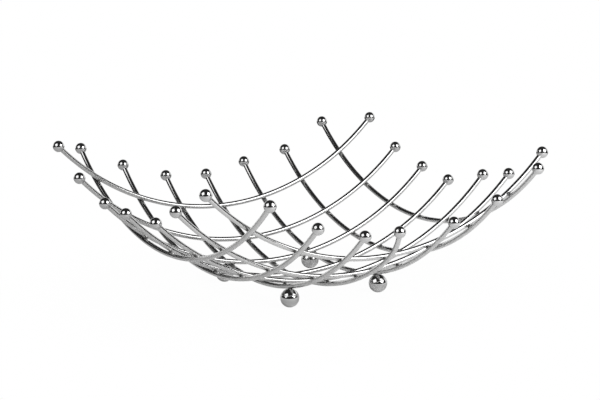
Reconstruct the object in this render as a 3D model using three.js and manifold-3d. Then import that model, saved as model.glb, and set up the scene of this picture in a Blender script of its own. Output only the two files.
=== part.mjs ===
// Fruit basket of chrome-plated wire. Two layers of bent wire are welded where they cross, into a
// square dished grid. Every wire end carries a ball, and four larger balls are the feet.
// Millimetres, +Z up, with the origin on the table below the middle of the grid.
// Inner wires run along X and lie on top of the outer wires, which run along Y.

import * as THREE from 'three';
import { mergeVertices } from 'three/addons/utils/BufferGeometryUtils.js';
import loadManifold from 'manifold-3d';

// Wire and grid
const WIRE_DIAMETER = 4.3;
const WIRE_PITCH = 43;
const BEND_RADIUS = 231; // of the middle surface that the two layers are welded on
const BALL_SPACING = 367; // along a wire, between the centres of its two balls
const WELD_GAP = 0.3; // left open between two pieces that are welded together

// Tip balls, each butt-welded on the end of a wire
const TIP_BALL_DIAMETER = 10.2;
const TIP_FLAT_DIAMETER = 4.7; // pressed on the ball where the wire meets it

// Feet, welded under two of the outer wires
const FOOT_DIAMETER = 16;
const FOOT_FLAT_DIAMETER = 5; // ground on the underside, so that the foot stands still
const FOOT_SEAT_DEPTH = 0.3; // how far the wire sinks into the top of the foot
const FOOT_REACH = 52.5; // from the middle of the grid, along the outer wires
const FOOT_WIRES = [3, 5];

// How far each wire sits off centre along its own arc, as it was laid in the welding jig.
// Inner wires count from the back and shift to the right, outer wires from the left to the back.
const INNER_SHIFTS = [-3.5, -4.5, -2.5, -5.5, 2.5, -4, -0.5];
const OUTER_SHIFTS = [-1, 1, -1, 0, 1, -3, -2];

// How much further than usual each ball sits from the middle of its wire, in the same order
const INNER_EXTRAS = [-1, 0, -1.5, -1, 0, 0, -1];
const OUTER_EXTRAS = [-1, 0.5, 0, 0, 3, 0.5, 0];

// The front end of one outer wire has been knocked and bent
const KNOCKED_WIRE = 4;
const KNOCK_LENGTH = 46; // of the stretch that is bent, back from the ball's centre
const KNOCK_SHIFT = new THREE.Vector3(-7, 3.5, 3); // of the ball

// Facets
const WIRE_SIDES = 12;
const WIRE_STEPS = 28;
const TIP_BALL_SIDES = 16;
const TIP_BALL_RINGS = 8;
const FOOT_SIDES = 20;
const FOOT_RINGS = 10;

const WIRES_EACH_WAY = INNER_SHIFTS.length;
const MIDDLE_WIRE = (WIRES_EACH_WAY + 1) / 2;
const WIRE_RADIUS = WIRE_DIAMETER / 2;
const FOOT_RADIUS = FOOT_DIAMETER / 2;
const LAYER_OFFSET = WIRE_RADIUS + WELD_GAP / 2; // from the middle surface to a wire's centre

// From a ball's centre to its flat
function flatDistance(diameter, flatDiameter) {
  return Math.sqrt(diameter ** 2 - flatDiameter ** 2) / 2;
}

// From a tip ball's centre to the end of its wire
const WIRE_END_DISTANCE = flatDistance(TIP_BALL_DIAMETER, TIP_FLAT_DIAMETER) + WELD_GAP;

const wasm = await loadManifold();
wasm.setup();

// The middle surface: the same circular arc carried along itself, both ways

function arcRise(distance) {
  return BEND_RADIUS - Math.sqrt(BEND_RADIUS ** 2 - distance ** 2);
}

function arcSlope(distance) {
  return distance / Math.sqrt(BEND_RADIUS ** 2 - distance ** 2);
}

// A point straight above or below the middle surface, where offset is the distance square to it.
// That keeps the same gap between the layers at every crossing, flat or steep.
function gridPoint(x, y, offset) {
  const steepness = Math.hypot(1, arcSlope(x), arcSlope(y));
  return new THREE.Vector3(x, y, arcRise(x) + arcRise(y) + offset * steepness);
}

function linePlace(number) {
  return (number - MIDDLE_WIRE) * WIRE_PITCH;
}

// Where the centres of a wire's two balls are, by the distance along its arc from the middle of the grid

function ballSpan(shift, extra) {
  const half = BALL_SPACING / 2 + extra;
  return [shift - half, shift + half];
}

function innerSpan(number) {
  return ballSpan(INNER_SHIFTS[number - 1], INNER_EXTRAS[number - 1]);
}

function outerSpan(number) {
  return ballSpan(OUTER_SHIFTS[number - 1], OUTER_EXTRAS[number - 1]);
}

// Centreline of a wire, by the same distance

function innerPoint(number, along) {
  const x = BEND_RADIUS * Math.sin(along / BEND_RADIUS);
  return gridPoint(x, -linePlace(number), LAYER_OFFSET);
}

// The knocked stretch leaves its arc, more and more towards the ball.
function knockAt(along) {
  const fromBall = along - outerSpan(KNOCKED_WIRE)[0];
  const share = Math.max(0, 1 - fromBall / KNOCK_LENGTH);
  return KNOCK_SHIFT.clone().multiplyScalar(share ** 2);
}

function outerPoint(number, along) {
  const y = BEND_RADIUS * Math.sin(along / BEND_RADIUS);
  const point = gridPoint(linePlace(number), y, -LAYER_OFFSET);
  return number === KNOCKED_WIRE ? point.add(knockAt(along)) : point;
}

class WirePath extends THREE.Curve {
  constructor(pointAt, start, end) {
    super();
    this.pointAt = pointAt;
    this.start = start;
    this.end = end;
  }

  getPoint(share, target = new THREE.Vector3()) {
    return target.copy(this.pointAt(THREE.MathUtils.lerp(this.start, this.end, share)));
  }
}

// Wire: a round bar bent to its path, which ends just short of the two balls

function wirePath(pointAt, [firstBall, lastBall]) {
  return new WirePath(pointAt, firstBall + WIRE_END_DISTANCE, lastBall - WIRE_END_DISTANCE);
}

function roundBar(path, radius) {
  const section = new THREE.Shape();
  for (let side = 0; side < WIRE_SIDES; side += 1) {
    const angle = (2 * Math.PI * side) / WIRE_SIDES;
    const move = side === 0 ? 'moveTo' : 'lineTo';
    section[move](radius * Math.cos(angle), radius * Math.sin(angle));
  }
  return new THREE.ExtrudeGeometry(section, {
    steps: WIRE_STEPS,
    extrudePath: path,
    bevelEnabled: false,
  });
}

// Ball: turned about the Y axis, with a flat on its -Y side
function flattedBall(diameter, flatDiameter, sides, rings) {
  const flatAngle = -Math.acos(flatDiameter / diameter);
  const profile = [new THREE.Vector2(0, -flatDistance(diameter, flatDiameter))];
  for (let ring = 0; ring < rings; ring += 1) {
    const angle = THREE.MathUtils.lerp(flatAngle, Math.PI / 2, ring / rings);
    profile.push(new THREE.Vector2(Math.cos(angle), Math.sin(angle)).multiplyScalar(diameter / 2));
  }
  profile.push(new THREE.Vector2(0, diameter / 2));
  return new THREE.LatheGeometry(profile, sides);
}

// Foot: its flat is underneath, and the wire's seat is cut in its top
function footCentre(x, y) {
  const down = new THREE.Vector3(arcSlope(x), arcSlope(y), -1).normalize();
  const fromWire = WIRE_RADIUS + FOOT_RADIUS - FOOT_SEAT_DEPTH;
  return gridPoint(x, y, -LAYER_OFFSET).addScaledVector(down, fromWire);
}

// Cutting one closed shape out of another

function toSolid(geometry) {
  const bare = geometry.clone();
  bare.deleteAttribute('normal');
  bare.deleteAttribute('uv');
  const merged = mergeVertices(bare);
  const corners = merged.index.array;
  const triangles = [];
  for (let first = 0; first < corners.length; first += 3) {
    const [a, b, c] = corners.slice(first, first + 3);
    if (a !== b && b !== c && c !== a) triangles.push(a, b, c);
  }
  return new wasm.Manifold(new wasm.Mesh({
    numProp: 3,
    vertProperties: Float32Array.from(merged.attributes.position.array),
    triVerts: Uint32Array.from(triangles),
  }));
}

function cutAway(geometry, cutter) {
  const mesh = toSolid(geometry).subtract(toSolid(cutter)).getMesh();
  const result = new THREE.BufferGeometry();
  result.setAttribute('position', new THREE.BufferAttribute(mesh.vertProperties, mesh.numProp));
  result.setIndex(new THREE.BufferAttribute(mesh.triVerts, 1));
  result.computeVertexNormals();
  return result;
}

// Assembly

const basket = new THREE.Group();

function addPiece(name, geometry, { color, roughness }) {
  const material = new THREE.MeshStandardMaterial({ color, roughness, metalness: 1 });
  const piece = new THREE.Mesh(geometry, material);
  piece.name = name;
  basket.add(piece);
  return piece;
}

const CHROME_WIRE = { color: 0xc8cacc, roughness: 0.14 };
const CHROME_BALL = { color: 0xd0d2d4, roughness: 0.06 };

const tipBall = flattedBall(TIP_BALL_DIAMETER, TIP_FLAT_DIAMETER, TIP_BALL_SIDES, TIP_BALL_RINGS);

function addTipBall(name, pointAt, along, outwards) {
  const centre = pointAt(along);
  const wireEnd = pointAt(along - outwards * WIRE_END_DISTANCE);
  const wireDirection = centre.clone().sub(wireEnd).normalize();
  const ball = addPiece(name, tipBall, CHROME_BALL);
  ball.position.copy(centre);
  ball.quaternion.setFromUnitVectors(new THREE.Vector3(0, 1, 0), wireDirection);
}

function addWire(layer, number, pointAt, span, [firstEnd, lastEnd]) {
  addPiece(`${layer}_wire_${number}`, roundBar(wirePath(pointAt, span), WIRE_RADIUS), CHROME_WIRE);
  addTipBall(`${layer}_ball_${number}_${firstEnd}`, pointAt, span[0], -1);
  addTipBall(`${layer}_ball_${number}_${lastEnd}`, pointAt, span[1], 1);
}

for (let number = 1; number <= WIRES_EACH_WAY; number += 1) {
  const inner = (along) => innerPoint(number, along);
  const outer = (along) => outerPoint(number, along);
  addWire('inner', number, inner, innerSpan(number), ['left', 'right']);
  addWire('outer', number, outer, outerSpan(number), ['front', 'back']);
}

const footBall = flattedBall(FOOT_DIAMETER, FOOT_FLAT_DIAMETER, FOOT_SIDES, FOOT_RINGS);
footBall.rotateX(Math.PI / 2);

for (const number of FOOT_WIRES) {
  const path = wirePath((along) => outerPoint(number, along), outerSpan(number));
  for (const end of [-1, 1]) {
    const x = linePlace(number);
    const centre = footCentre(x, end * FOOT_REACH);
    const seat = roundBar(path, WIRE_RADIUS + WELD_GAP).translate(-centre.x, -centre.y, -centre.z);
    const name = `foot_${end < 0 ? 'front' : 'back'}_${x < 0 ? 'left' : 'right'}`;
    addPiece(name, cutAway(footBall, seat), CHROME_BALL).position.copy(centre);
  }
}

// The feet's flats stand on the table
const footHeight = flatDistance(FOOT_DIAMETER, FOOT_FLAT_DIAMETER);
basket.position.z = footHeight - footCentre(linePlace(FOOT_WIRES[0]), FOOT_REACH).z;

export default basket;
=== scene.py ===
import math

import bmesh
import bpy
from mathutils import Matrix, Vector


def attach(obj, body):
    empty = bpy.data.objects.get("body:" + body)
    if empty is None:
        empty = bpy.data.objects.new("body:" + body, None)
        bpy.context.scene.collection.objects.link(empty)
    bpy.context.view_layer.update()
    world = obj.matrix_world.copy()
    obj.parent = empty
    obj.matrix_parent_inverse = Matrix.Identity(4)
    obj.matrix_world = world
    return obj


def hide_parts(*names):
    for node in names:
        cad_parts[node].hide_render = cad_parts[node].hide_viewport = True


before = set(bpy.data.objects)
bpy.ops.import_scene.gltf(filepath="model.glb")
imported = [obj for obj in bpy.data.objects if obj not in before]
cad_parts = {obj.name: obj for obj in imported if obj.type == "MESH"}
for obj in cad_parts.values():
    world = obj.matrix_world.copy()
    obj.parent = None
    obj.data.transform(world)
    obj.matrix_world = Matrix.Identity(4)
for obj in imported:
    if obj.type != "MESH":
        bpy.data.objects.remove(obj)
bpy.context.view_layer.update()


# Outer wires
# Seven lengths of 4.3 mm drawn steel wire, cut and bent to one arc, laid side by side in the welding
# jig. They lie underneath and run from front to back. The front end of the fourth one has been knocked.

MM = 0.001
WIRE_RADIUS = 2.15 * MM
WIRE_PITCH = 43 * MM
BEND_RADIUS = 231 * MM  # of the middle surface that the two layers are welded on
BALL_SPACING = 367 * MM  # along a wire, between the centres of its two balls
WIRES_EACH_WAY = 7
LAYER_OFFSET = 2.3 * MM  # from the middle surface to a wire's centre
GRID_HEIGHT = 9.3516 * MM  # of the middle surface's lowest point above the table
WIRE_SIDES = 20
WIRE_STEPS = 150

OUTER_SHIFTS = [-1, 1, -1, 0, 1, -3, -2]  # mm, to the back
OUTER_EXTRAS = [-1, 0.5, 0, 0, 3, 0.5, 0]  # mm, of each ball away from the middle
KNOCKED_WIRE = 4
KNOCK_LENGTH = 46 * MM
KNOCK_SHIFT = Vector((-7, 3.5, 3)) * MM

# Resistance welding leaves the metal a little duller for this far along the wire, and painted shade darkens
# it there on the side that faces the crossing wire
WELD_REACH = 5 * MM


def arc_rise(distance):
    """How far the arc has risen at a distance from its lowest point."""
    return BEND_RADIUS - math.sqrt(BEND_RADIUS**2 - distance**2)


def arc_slope(distance):
    return distance / math.sqrt(BEND_RADIUS**2 - distance**2)


def grid_point(x, y, offset):
    """A point above (x, y) that lies about this far off the middle surface."""
    steepness = math.hypot(1, arc_slope(x), arc_slope(y))
    return Vector((x, y, GRID_HEIGHT + arc_rise(x) + arc_rise(y) + offset * steepness))


def line_place(number):
    """Where a wire lies across the grid."""
    return (number - (WIRES_EACH_WAY + 1) / 2) * WIRE_PITCH


def ball_span(shift, extra):
    """Where a wire's two balls sit, as lengths along it from the middle of the arc."""
    half = BALL_SPACING / 2 + extra * MM
    return shift * MM - half, shift * MM + half


def outer_span(number):
    return ball_span(OUTER_SHIFTS[number - 1], OUTER_EXTRAS[number - 1])


def outer_point(number, along):
    point = grid_point(line_place(number), BEND_RADIUS * math.sin(along / BEND_RADIUS), -LAYER_OFFSET)
    if number == KNOCKED_WIRE:
        share = max(0, 1 - (along - outer_span(number)[0]) / KNOCK_LENGTH)
        point += KNOCK_SHIFT * share**2
    return point


def new_piece(name, mesh_maker, material, nodes=()):
    """Makes a piece of the basket, which stands for the given solids if there are any."""
    shape = bmesh.new()
    mesh_maker(shape)
    bmesh.ops.recalc_face_normals(shape, faces=shape.faces)
    for face in shape.faces:
        face.smooth = True
    mesh = bpy.data.meshes.new(name)
    shape.to_mesh(mesh)
    shape.free()
    mesh.materials.append(material)
    piece = bpy.data.objects.new(name, mesh)
    bpy.context.collection.objects.link(piece)
    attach(piece, "root")
    if nodes:
        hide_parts(*nodes)
    return piece


def skin_rings(shape, rings):
    """Joins rings of vertices into a tube and closes both ends."""
    for ring, after in zip(rings, rings[1:]):
        for side in range(len(ring)):
            following = (side + 1) % len(ring)
            shape.faces.new((ring[side], ring[following], after[following], after[side]))
    shape.faces.new(rings[0])
    shape.faces.new(rings[-1])


def nearest_line(place):
    """How far a place across the grid lies from the nearest crossing wire."""
    outermost = (WIRES_EACH_WAY - 1) // 2
    number = max(-outermost, min(outermost, round(place / WIRE_PITCH)))
    return abs(place - number * WIRE_PITCH)


def bend_wire(shape, points, across, crossing_axis, weld_side):
    """A round bar along the points, with how near each point of its skin is to a weld on the side facing
    the crossing wire, which darkens the plate there: partly weld-heated plate, partly painted shade between
    the wires.

    The wires that it crosses are spaced along axis 0 or 1, and lie on its upper (1) or lower (-1) side.
    """
    weld_and_shade_layer = shape.verts.layers.float.new("weld_heat_and_painted_shade")
    rings = []
    for index, point in enumerate(points):
        before = points[max(index - 1, 0)]
        after = points[min(index + 1, len(points) - 1)]
        forward = (after - before).normalized()
        upward = across.cross(forward).normalized()
        if upward.z < 0:
            upward.negate()
        sideways = forward.cross(upward)
        ring = []
        for side in range(WIRE_SIDES):
            angle = 2 * math.pi * side / WIRE_SIDES
            vertex = shape.verts.new(
                point + WIRE_RADIUS * (math.cos(angle) * sideways + math.sin(angle) * upward)
            )
            along = nearest_line(point[crossing_axis])
            # The side facing the crossing wire takes the painted shade between the wires, as well as the
            # weld's dulling
            facing = (1 + weld_side * math.sin(angle)) / 2
            vertex[weld_and_shade_layer] = max(0, 1 - along / WELD_REACH) * facing
            ring.append(vertex)
        rings.append(ring)
    skin_rings(shape, rings)


def linear(hex_colour):
    """A colour written as sRGB hex, as the linear values that the shader takes."""
    channels = [int(hex_colour[start:start + 2], 16) / 255 for start in (1, 3, 5)]
    return [c / 12.92 if c <= 0.04045 else ((c + 0.055) / 1.055) ** 2.4 for c in channels] + [1]


def add_node(tree, kind, settings=None, links=None):
    """Adds a node, sets its inputs or options by name, and links its inputs by name."""
    node = tree.nodes.new(kind)
    for name, value in (settings or {}).items():
        if name in node.inputs.keys():
            node.inputs[name].default_value = value
        else:
            setattr(node, name, value)
    for name, socket in (links or {}).items():
        tree.links.new(socket, node.inputs[name])
    return node


CLOUD_SHARE = 0.5  # how much of the darkening the clouds can give, where a weld can give 1: duller weld-heated plate and painted shade between the wires


def chrome_plate(name, bright, dull, smooth, rough, cloud_size, ripple_size, ripple_height):
    """Chromium plate that follows the metal under it: clouded in gloss, rippled, and duller at welds, with
    painted shade between crossing wires where the mesh marks it.
    """
    material = bpy.data.materials.new(name)
    material.use_nodes = True
    tree = material.node_tree
    tree.nodes.clear()
    place = add_node(tree, "ShaderNodeTexCoord").outputs["Object"]
    cloud = add_node(
        tree, "ShaderNodeTexNoise",
        {"Scale": 1 / cloud_size, "Detail": 4, "Roughness": 0.6}, {"Vector": place},
    )
    ripple = add_node(
        tree, "ShaderNodeTexNoise",
        {"Scale": 1 / ripple_size, "Detail": 2, "Roughness": 0.5}, {"Vector": place},
    )
    # Near welds, on the side facing the crossing wire: duller weld-heated plate and painted shade between
    # the wires
    weld = add_node(tree, "ShaderNodeAttribute", {"attribute_name": "weld_heat_and_painted_shade"})
    dull_and_shade_amount = add_node(tree, "ShaderNodeMath", {"operation": "MULTIPLY_ADD", "use_clamp": True})
    tree.links.new(cloud.outputs["Fac"], dull_and_shade_amount.inputs[0])
    dull_and_shade_amount.inputs[1].default_value = CLOUD_SHARE
    tree.links.new(weld.outputs["Fac"], dull_and_shade_amount.inputs[2])
    # This node has sockets for every kind of value: inputs 6 and 7 and output 2 are its colours
    colour = add_node(tree, "ShaderNodeMix", {"data_type": "RGBA"})
    tree.links.new(dull_and_shade_amount.outputs["Value"], colour.inputs[0])
    colour.inputs[6].default_value = linear(bright)
    colour.inputs[7].default_value = linear(dull)
    gloss = add_node(
        tree, "ShaderNodeMapRange", {"To Min": smooth, "To Max": rough},
        {"Value": dull_and_shade_amount.outputs["Value"]},
    )
    bump = add_node(
        tree, "ShaderNodeBump", {"Strength": 1, "Distance": ripple_height},
        {"Height": ripple.outputs["Fac"]},
    )
    plate = add_node(
        tree, "ShaderNodeBsdfPrincipled", {"Metallic": 1},
        {
            "Base Color": colour.outputs[2],
            "Roughness": gloss.outputs["Result"],
            "Normal": bump.outputs["Normal"],
        },
    )
    add_node(tree, "ShaderNodeOutputMaterial", links={"Surface": plate.outputs["BSDF"]})
    return material


# Bright chromium plate on drawn wire. Drawing leaves faint ripples and a little haze, so reflections are
# clear but not perfectly even. Near each weld the plate is duller and darker on the side facing the
# crossing wire: partly where the weld's heat has roughened the steel, partly painted shade between the
# wires.
chrome_on_wire = chrome_plate(
    "chrome_on_drawn_wire", bright="#D2D2D2", dull="#BABAB9", smooth=0.1, rough=0.18,
    cloud_size=25 * MM, ripple_size=6 * MM, ripple_height=0.001 * MM,
)

# The wires end inside the balls. Smooth shading bends towards the cut end from the ring next to it on, so
# that ring comes early enough to lie inside the ball too.
WIRE_END_DISTANCE = 4 * MM  # from the ball's centre
WIRE_END_STEP = 0.3 * MM  # from there to the next ring


def wire_points(point_at, number, span):
    start = span[0] + WIRE_END_DISTANCE
    stop = span[1] - WIRE_END_DISTANCE
    between = [start + (stop - start) * step / WIRE_STEPS for step in range(1, WIRE_STEPS)]
    places = [start, start + WIRE_END_STEP, *between, stop - WIRE_END_STEP, stop]
    return [point_at(number, along) for along in places]


for number in range(1, WIRES_EACH_WAY + 1):
    route = wire_points(outer_point, number, outer_span(number))
    new_piece(
        f"outer_wire_{number}_bent",
        lambda shape: bend_wire(shape, route, Vector((1, 0, 0)), crossing_axis=1, weld_side=1),
        chrome_on_wire, [f"outer_wire_{number}"],
    )


# Inner wires
# Seven more lengths of the same wire, laid across the outer ones from left to right. They carry the
# fruit. Each crossing is pressed between two electrodes and welded.

INNER_SHIFTS = [-3.5, -4.5, -2.5, -5.5, 2.5, -4, -0.5]  # mm, to the right
INNER_EXTRAS = [-1, 0, -1.5, -1, 0, 0, -1]  # mm, of each ball away from the middle


def inner_span(number):
    return ball_span(INNER_SHIFTS[number - 1], INNER_EXTRAS[number - 1])


def inner_point(number, along):
    return grid_point(BEND_RADIUS * math.sin(along / BEND_RADIUS), -line_place(number), LAYER_OFFSET)


for number in range(1, WIRES_EACH_WAY + 1):
    route = wire_points(inner_point, number, inner_span(number))
    new_piece(
        f"inner_wire_{number}_bent",
        lambda shape: bend_wire(shape, route, Vector((0, 1, 0)), crossing_axis=0, weld_side=-1),
        chrome_on_wire, [f"inner_wire_{number}"],
    )


# Crossing welds
# A little steel squeezed out between the two wires as they were welded, 49 times, then plated over
# with the rest. It bridges the slit between the wires with a small hollow-sided collar.

WELD_RADIUS = 1.9 * MM
WELD_WAIST = 0.72  # of that radius, half way between the wires
WELD_SINK = 0.12 * MM  # how far the collar's two ends run into the wires
WELD_SIDES = 24
WELD_RINGS = 6


def weld_collar(shape, middle, first, second, normal, low_height, high_height, reach):
    """A collar between two surfaces, given by their heights over a place (first, second) across it."""
    rings = []
    for level in range(WELD_RINGS + 1):
        rise = level / WELD_RINGS
        swell = WELD_WAIST + (1 - WELD_WAIST) * (2 * rise - 1) ** 2
        ring = []
        for side in range(WELD_SIDES):
            angle = 2 * math.pi * side / WELD_SIDES
            a = reach[0] * swell * math.cos(angle)
            b = reach[1] * swell * math.sin(angle)
            low = low_height(a, b) - WELD_SINK
            high = high_height(a, b) + WELD_SINK
            height = low + (high - low) * rise
            ring.append(shape.verts.new(middle + a * first + b * second + height * normal))
        rings.append(ring)
    skin_rings(shape, rings)


def round_top(from_axis):
    """How far a wire's skin has fallen away at a distance across from its axis."""
    return WIRE_RADIUS - math.sqrt(WIRE_RADIUS**2 - from_axis**2)


def crossing_welds(shape):
    """A collar at each crossing, in the middle between the two wires."""
    half_gap = LAYER_OFFSET - WIRE_RADIUS
    for inner in range(1, WIRES_EACH_WAY + 1):
        for outer in range(1, WIRES_EACH_WAY + 1):
            x = line_place(outer)
            y = -line_place(inner)
            first = Vector((1, 0, arc_slope(x))).normalized()
            second = Vector((0, 1, arc_slope(y))).normalized()
            normal = first.cross(second).normalized()
            across = normal.cross(first)
            slide = 2 * LAYER_OFFSET * normal
            on_inner = grid_point(x + slide.x, y, LAYER_OFFSET)
            on_outer = grid_point(x, y - slide.y, -LAYER_OFFSET)
            weld_collar(
                shape, (on_inner + on_outer) / 2, first, across, normal,
                lambda a, b: -half_gap - round_top(a),
                lambda a, b: half_gap + round_top(b),
                (WELD_RADIUS, WELD_RADIUS),
            )


# Chromium plate on weld metal. The steel under it is rough from the heat, so it looks darker and
# blurs what it reflects.
chrome_on_weld = chrome_plate(
    "chrome_on_weld_metal", bright="#747474", dull="#4A4A4A", smooth=0.16, rough=0.34,
    cloud_size=1.5 * MM, ripple_size=0.8 * MM, ripple_height=0.03 * MM,
)

new_piece("crossing_weld_collars", crossing_welds, chrome_on_weld)


# Tip balls
# Steel balls of about 10 mm, butt-welded on the cut ends of the wires so that nobody is scratched. The
# weld has drawn a small hollow fillet between ball and wire.

TIP_BALL_RADIUS = 5.04 * MM
NECK_RADIUS = 2.5 * MM  # where the fillet leaves the ball
NECK_LENGTH = 0.6 * MM  # of the fillet along the wire
NECK_SINK = 0.05 * MM  # how far the fillet's thin end runs into the wire
TOP_FACE_ANGLE = 0.02  # radians, from a ball's pole to the edge of the tiny face there
BALL_SIDES = 40
BALL_RINGS = 24
FILLET_RINGS = 4


def turn(shape, profile, place, sides):
    """Turns a profile of (radius, height) about the Z axis and puts it in its place."""
    rings = []
    for radius, height in profile:
        ring = []
        for side in range(sides):
            angle = 2 * math.pi * side / sides
            corner = Vector((radius * math.cos(angle), radius * math.sin(angle), height))
            ring.append(shape.verts.new(place @ corner))
        rings.append(ring)
    skin_rings(shape, rings)


def ball_profile(radius, low_angle, rings):
    """From an angle below the middle up to a tiny face that closes the top."""
    top_angle = math.pi / 2 - TOP_FACE_ANGLE
    angles = [low_angle + (top_angle - low_angle) * ring / rings for ring in range(rings + 1)]
    return [(radius * math.cos(angle), radius * math.sin(angle)) for angle in angles]


def tip_ball_profile():
    """The fillet from the wire outwards, then the ball."""
    neck_angle = -math.acos(NECK_RADIUS / TIP_BALL_RADIUS)
    neck_height = TIP_BALL_RADIUS * math.sin(neck_angle)
    fillet = []
    for ring in range(FILLET_RINGS):
        share = ring / FILLET_RINGS
        radius = WIRE_RADIUS - NECK_SINK + (NECK_RADIUS - WIRE_RADIUS) * share**2
        fillet.append((radius, neck_height - NECK_LENGTH * (1 - share)))
    return fillet + ball_profile(TIP_BALL_RADIUS, neck_angle, BALL_RINGS)


# Bright chromium plate on a rolled steel ball: close to a mirror, with only a breath of haze.
chrome_on_ball = chrome_plate(
    "chrome_on_steel_ball", bright="#CCCCCC", dull="#BEBEBE", smooth=0.03, rough=0.07,
    cloud_size=6 * MM, ripple_size=3 * MM, ripple_height=0.004 * MM,
)


def ball_place(point_at, number, along, outwards):
    """The place of a ball whose Z axis points out of the end of its wire."""
    centre = point_at(number, along)
    direction = centre - point_at(number, along - outwards * WIRE_END_DISTANCE)
    return Matrix.Translation(centre) @ direction.to_track_quat("Z", "Y").to_matrix().to_4x4()


for layer, point_at, span_of, ends in (
    ("inner", inner_point, inner_span, ("left", "right")),
    ("outer", outer_point, outer_span, ("front", "back")),
):
    for number in range(1, WIRES_EACH_WAY + 1):
        for end, along, outwards in zip(ends, span_of(number), (-1, 1)):
            place = ball_place(point_at, number, along, outwards)
            new_piece(
                f"{layer}_tip_{number}_{end}",
                lambda shape: turn(shape, tip_ball_profile(), place, BALL_SIDES),
                chrome_on_ball, [f"{layer}_ball_{number}_{end}"],
            )


# Feet
# Four steel balls of 16 mm, welded under the third and fifth outer wires and ground flat underneath,
# so that the basket stands still.

FOOT_RADIUS = 8 * MM
FOOT_FLAT_RADIUS = 2.5 * MM
FOOT_SEAT_DEPTH = 0.3 * MM  # how far the wire sinks into the top of the foot
FOOT_REACH = 52.5 * MM  # from the middle of the grid, along the outer wires
FOOT_WIRES = (3, 5)
FOOT_SIDES = 64
FOOT_RINGS = 40
FOOT_WELD_ACROSS = 1.9 * MM
FOOT_WELD_ALONG = 3.2 * MM


def foot_shape(shape, contact, down):
    centre = contact + down * (WIRE_RADIUS + FOOT_RADIUS - FOOT_SEAT_DEPTH)
    flat_angle = -math.acos(FOOT_FLAT_RADIUS / FOOT_RADIUS)
    profile = ball_profile(FOOT_RADIUS, flat_angle, FOOT_RINGS)
    turn(shape, profile, Matrix.Translation(centre), FOOT_SIDES)


def foot_weld(shape, contact, down, along):
    middle = contact + down * WIRE_RADIUS
    across = along.cross(down)
    weld_collar(
        shape, middle, across, along, -down,
        lambda a, b: FOOT_SEAT_DEPTH - FOOT_RADIUS + math.sqrt(FOOT_RADIUS**2 - a**2 - b**2),
        lambda a, b: round_top(a),
        (FOOT_WELD_ACROSS, FOOT_WELD_ALONG),
    )


for number in FOOT_WIRES:
    for end in (-1, 1):
        x = line_place(number)
        y = end * FOOT_REACH
        down = Vector((arc_slope(x), arc_slope(y), -1)).normalized()
        along = Vector((0, 1, arc_slope(y))).normalized()
        contact = grid_point(x, y, -LAYER_OFFSET)
        side = "left" if x < 0 else "right"
        corner = f"front_{side}" if end < 0 else f"back_{side}"
        new_piece(
            f"ball_foot_{corner}", lambda shape: foot_shape(shape, contact, down),
            chrome_on_ball, [f"foot_{corner}"],
        )
        new_piece(
            f"foot_weld_{corner}", lambda shape: foot_weld(shape, contact, down, along),
            chrome_on_weld,
        )


# Camera
# A camera with a long lens, which looks slightly down on the basket from the front left. Its place and
# lens were fitted to the photograph together with the grid.

CAMERA_LENS = 113.85  # mm
SENSOR_WIDTH = 36  # mm
CAMERA_DISTANCE = 1659.07 * MM
CAMERA_AZIMUTH = math.radians(-32.005)
CAMERA_ELEVATION = math.radians(11.409)
CAMERA_ROLL = math.radians(-0.738)
CAMERA_RIGHT = -0.223 * MM  # of the grid's lowest point, as the camera sees it
CAMERA_UP = 66.335 * MM

backward = Vector((
    math.sin(CAMERA_AZIMUTH) * math.cos(CAMERA_ELEVATION),
    -math.cos(CAMERA_AZIMUTH) * math.cos(CAMERA_ELEVATION),
    math.sin(CAMERA_ELEVATION),
))
level_right = Vector((math.cos(CAMERA_AZIMUTH), math.sin(CAMERA_AZIMUTH), 0))
level_up = backward.cross(level_right)
right = level_right * math.cos(CAMERA_ROLL) + level_up * math.sin(CAMERA_ROLL)
up = level_up * math.cos(CAMERA_ROLL) - level_right * math.sin(CAMERA_ROLL)
eye = right * CAMERA_RIGHT + up * CAMERA_UP + backward * CAMERA_DISTANCE + Vector((0, 0, GRID_HEIGHT))

camera_data = bpy.data.cameras.new("camera")
camera_data.lens = CAMERA_LENS
camera_data.sensor_width = SENSOR_WIDTH
camera = bpy.data.objects.new("camera", camera_data)
turned = Matrix((right, up, backward)).transposed().to_4x4()
camera.matrix_world = Matrix.Translation(eye) @ turned
bpy.context.collection.objects.link(camera)
bpy.context.scene.camera = camera


# Floor
# A matt white table top. The metal shows it as it is lit, out to its edges, and the dark room beyond.
# The camera sees a faint shadow on it near the basket, and plain white further out.

TABLE_LEFT = 0.9  # m, from under the middle of the basket, as the camera sees it
TABLE_RIGHT = 0.65  # m
TABLE_FRONT = 1.2  # m
TABLE_BACK = 0.27  # m
SHADOW_START = 0.1  # m, from the same place, where the shadow begins to fade out
SHADOW_END = 0.27  # m
SEEN_WHITENESS = 0.975  # the share that shows as plain white, and the rest takes light and shadow
REFLECTED_WHITENESS = 0.03  # the same, for what metal and glass show

ahead = Vector((backward.x, backward.y, 0)).normalized()


def table_top(shape):
    corners = [
        (-TABLE_LEFT, -TABLE_BACK), (TABLE_RIGHT, -TABLE_BACK),
        (TABLE_RIGHT, TABLE_FRONT), (-TABLE_LEFT, TABLE_FRONT),
    ]
    shape.faces.new([shape.verts.new(level_right * x + ahead * y) for x, y in corners])


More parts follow.
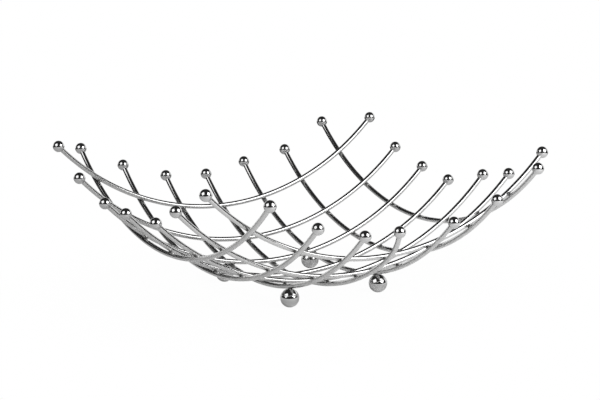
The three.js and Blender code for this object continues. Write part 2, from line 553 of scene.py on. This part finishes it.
def white_table_paint():
    material = bpy.data.materials.new("matt_white_table_paint")
    material.use_nodes = True
    tree = material.node_tree
    tree.nodes.clear()
    place = add_node(tree, "ShaderNodeTexCoord").outputs["Object"]
    distance = add_node(tree, "ShaderNodeVectorMath", {"operation": "LENGTH"}, {"Vector": place})
    seen_share = add_node(
        tree, "ShaderNodeMapRange",
        {"From Min": SHADOW_START, "From Max": SHADOW_END, "To Min": SEEN_WHITENESS, "To Max": 1},
        {"Value": distance.outputs["Value"]},
    )
    rays = add_node(tree, "ShaderNodeLightPath").outputs
    reflected = add_node(tree, "ShaderNodeMath", {"operation": "MAXIMUM"})
    tree.links.new(rays["Is Glossy Ray"], reflected.inputs[0])
    tree.links.new(rays["Is Transmission Ray"], reflected.inputs[1])
    reflected_share = add_node(tree, "ShaderNodeMath", {"operation": "MULTIPLY"})
    tree.links.new(reflected.outputs["Value"], reflected_share.inputs[0])
    reflected_share.inputs[1].default_value = REFLECTED_WHITENESS
    share = add_node(tree, "ShaderNodeMath", {"operation": "MULTIPLY_ADD"})
    tree.links.new(rays["Is Camera Ray"], share.inputs[0])
    tree.links.new(seen_share.outputs["Result"], share.inputs[1])
    tree.links.new(reflected_share.outputs["Value"], share.inputs[2])
    matt = add_node(tree, "ShaderNodeBsdfDiffuse", {"Color": linear("#F7F7F7")})
    white = add_node(tree, "ShaderNodeEmission", {"Color": linear("#FFFFFF"), "Strength": 1})
    mixed = add_node(tree, "ShaderNodeMixShader", links={"Fac": share.outputs["Value"]})
    tree.links.new(matt.outputs["BSDF"], mixed.inputs[1])
    tree.links.new(white.outputs["Emission"], mixed.inputs[2])
    add_node(tree, "ShaderNodeOutputMaterial", links={"Surface": mixed.outputs["Shader"]})
    return material


def new_stage(name, mesh_maker, material):
    """Makes a thing that stands in the studio and is no part of the basket."""
    shape = bmesh.new()
    mesh_maker(shape)
    mesh = bpy.data.meshes.new(name)
    shape.to_mesh(mesh)
    shape.free()
    mesh.materials.append(material)
    item = bpy.data.objects.new(name, mesh)
    bpy.context.collection.objects.link(item)
    return item


new_stage("floor", table_top, white_table_paint())


# Studio
# Two square soft boxes stand on their corners left and right of the camera, and two white screens stand
# behind the table and to its right. The rest of the room is dark. Only metal and glass show all this,
# and the camera sees white.

ROOM_LEVEL = 0.033  # in times as bright as white, as all levels here
SCREEN_LEVEL = 1
SCREEN_BOTTOM = -0.1  # m, from the table's top
BACK_SCREEN_DISTANCE = 1.5  # m, behind the middle of the basket


def bright_sheet(name, place, width, height, level):
    """A bright cloth that only metal and glass show, and that lights nothing."""
    material = bpy.data.materials.new(f"{name}_cloth")
    material.use_nodes = True
    material.cycles.emission_sampling = "NONE"  # it is found by reflection alone, and not as a lamp
    tree = material.node_tree
    tree.nodes.clear()
    glow = add_node(tree, "ShaderNodeEmission", {"Color": linear("#FFFFFF"), "Strength": level})
    add_node(tree, "ShaderNodeOutputMaterial", links={"Surface": glow.outputs["Emission"]})

    def cloth(shape):
        corners = [(-width, -height, 0), (width, -height, 0), (width, height, 0), (-width, height, 0)]
        shape.faces.new([shape.verts.new(place @ (Vector(corner) / 2)) for corner in corners])

    sheet = new_stage(name, cloth, material)
    sheet.visible_camera = False
    sheet.visible_diffuse = False
    sheet.visible_shadow = False


def soft_box(name, place, width, level, shown_level):
    """A lamp that lights the table, and its front cloth as the metal shows it."""
    on_corner = Matrix.Rotation(math.radians(45), 4, "Z")
    turned = Matrix.Translation(place) @ place.to_track_quat("Z", "Y").to_matrix().to_4x4() @ on_corner
    data = bpy.data.lights.new(name, "AREA")
    data.shape = "SQUARE"
    data.size = width
    data.energy = level * math.pi * width**2
    lamp = bpy.data.objects.new(name, data)
    lamp.matrix_world = turned
    lamp.visible_camera = False
    lamp.visible_glossy = False
    bpy.context.collection.objects.link(lamp)
    bright_sheet(f"{name}_front", turned, width, width, shown_level)


def white_screen(name, foot, facing, width, top):
    """An upright screen over a point on the level of the table's top."""
    above = Vector((0, 0, 1))
    upright = Matrix((above.cross(facing), above, facing)).transposed().to_4x4()
    middle = foot + above * (SCREEN_BOTTOM + top) / 2
    bright_sheet(name, Matrix.Translation(middle) @ upright, width, top - SCREEN_BOTTOM, SCREEN_LEVEL)


# Places, widths and heights in metres
soft_box("soft_box_left", Vector((-1.346, -0.161, 0.951)), width=1.2, level=2, shown_level=1.8)
soft_box("soft_box_right", Vector((0.444, -0.893, 0.643)), width=0.87, level=7, shown_level=3.8)
white_screen("back_screen", -ahead * BACK_SCREEN_DISTANCE, facing=ahead, width=5, top=0.6)
white_screen("side_screen", Vector((1.5, 0.85, 0)), facing=Vector((-1, 0, 0)), width=2.3, top=0.9)

world = bpy.data.worlds.new("studio")
world.use_nodes = True
bpy.context.scene.world = world
air = world.node_tree
air.nodes.clear()
rays = add_node(air, "ShaderNodeLightPath").outputs
strength = add_node(air, "ShaderNodeMath", {"operation": "MAXIMUM"})
air.links.new(rays["Is Camera Ray"], strength.inputs[0])
strength.inputs[1].default_value = ROOM_LEVEL
white = add_node(
    air, "ShaderNodeBackground", {"Color": linear("#FFFFFF")},
    {"Strength": strength.outputs["Value"]},
)
add_node(air, "ShaderNodeOutputWorld", links={"Surface": white.outputs["Background"]})

bpy.context.scene.view_settings.view_transform = "Standard"
